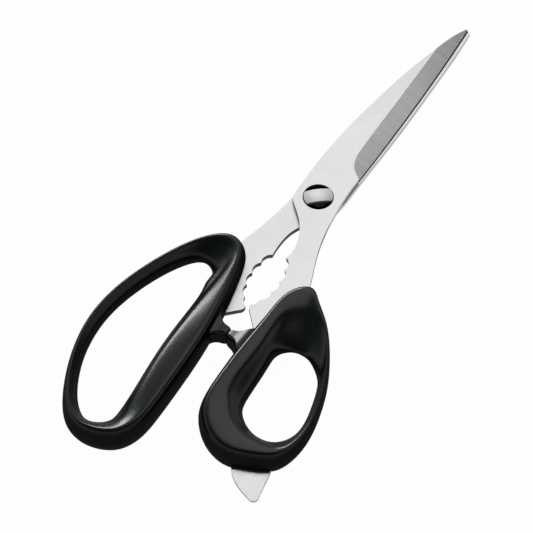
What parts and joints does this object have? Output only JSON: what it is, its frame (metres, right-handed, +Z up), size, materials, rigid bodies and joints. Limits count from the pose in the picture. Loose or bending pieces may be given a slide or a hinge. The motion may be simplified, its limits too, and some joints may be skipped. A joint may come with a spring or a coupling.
{
  "type": "kitchen shears",
  "caption": "Come-apart kitchen shears: bevelled steel blades on a T-head pivot stud, scalloped jar grip, flared black bows with closing stops and a lid lifter.",
  "frame": {"origin": "middle of the closed shears in plan, on the plane they lie on", "axes": "+Y along the blades to the tips, +Z up through the half with the thumb bow's blade, +X from the finger bow to the thumb bow"},
  "size_m": [0.088, 0.2184, 0.0127],
  "materials": {
    "blade_steel": "satin ground",
    "stud_steel": "polished",
    "handle_plastic": "satin black"
  },
  "bodies": {
    "finger_half": {"rear_blade": "blade_steel", "finger_handle": "handle_plastic", "pivot_stud": "stud_steel"},
    "thumb_half": {"front_blade": "blade_steel", "thumb_handle": "handle_plastic", "lid_lifter": "blade_steel"}
  },
  "joints": [
    {"name": "pivot", "type": "hinge", "parent": "finger_half", "child": "thumb_half", "pos_m": [-0.01032, 0.01529, 0.00634], "axis": [0, 0, 1], "range_deg": [0, 90]}
  ]
}
